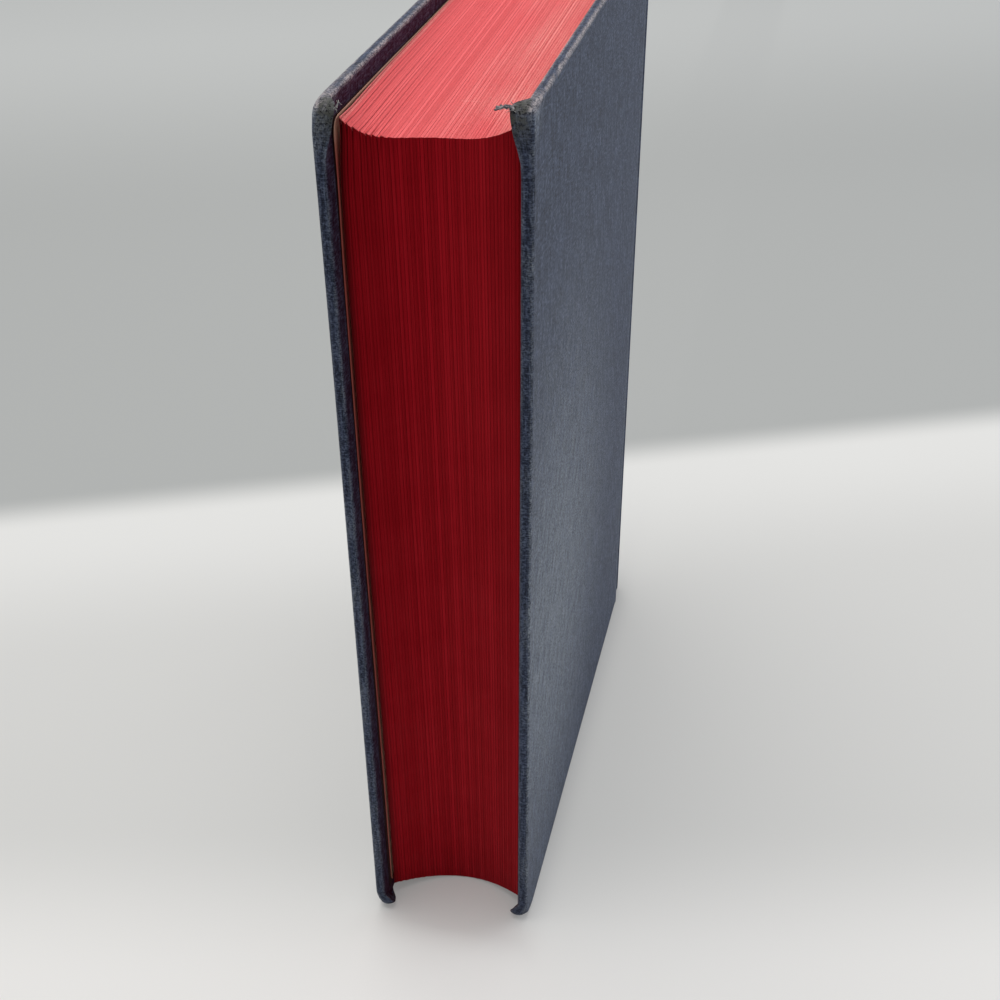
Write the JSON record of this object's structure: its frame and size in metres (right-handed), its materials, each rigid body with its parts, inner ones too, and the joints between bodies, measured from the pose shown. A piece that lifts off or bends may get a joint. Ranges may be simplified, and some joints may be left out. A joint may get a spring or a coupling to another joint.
{
  "type": "hardback book",
  "caption": "Cloth-bound hardback book with rounded spine, red-stained page edges and two covers that open on cloth joints, standing on its tail.",
  "frame": {"origin": "middle of the footprint, at the tail edges of the covers", "axes": "+Z from tail to head, +Y from the fore-edge to the spine, +X across the thickness from the front cover to the back cover"},
  "size_m": [0.044, 0.1734, 0.24],
  "materials": {
    "page_edges": "stained and burnished",
    "endpaper": "uncoated",
    "lining_paper": "kraft",
    "band_cloth": "woven cotton",
    "gauze": "open weave",
    "board_grey": "matte",
    "book_cloth": "fine weave, worn"
  },
  "bodies": {
    "pages_and_spine": {"text_block": "page_edges", "front_flyleaf": "endpaper", "back_flyleaf": "endpaper", "head_band": "band_cloth", "tail_band": "band_cloth", "mull": "gauze", "spine_lining": "lining_paper", "spine_inlay": "board_grey", "spine_cloth": "book_cloth"},
    "front_cover": {"front_board": "board_grey", "front_board_cloth": "book_cloth", "front_pastedown": "endpaper"},
    "back_cover": {"back_board": "board_grey", "back_board_cloth": "book_cloth", "back_pastedown": "endpaper"}
  },
  "joints": [
    {"name": "front_joint", "type": "hinge", "parent": "pages_and_spine", "child": "front_cover", "pos_m": [-0.0223, 0.06828, 0.12], "axis": [0, 0, -1], "range_deg": [0, 180]},
    {"name": "back_joint", "type": "hinge", "parent": "pages_and_spine", "child": "back_cover", "pos_m": [0.0223, 0.07478, 0.12], "axis": [0, 0, 1], "range_deg": [0, 180]}
  ]
}
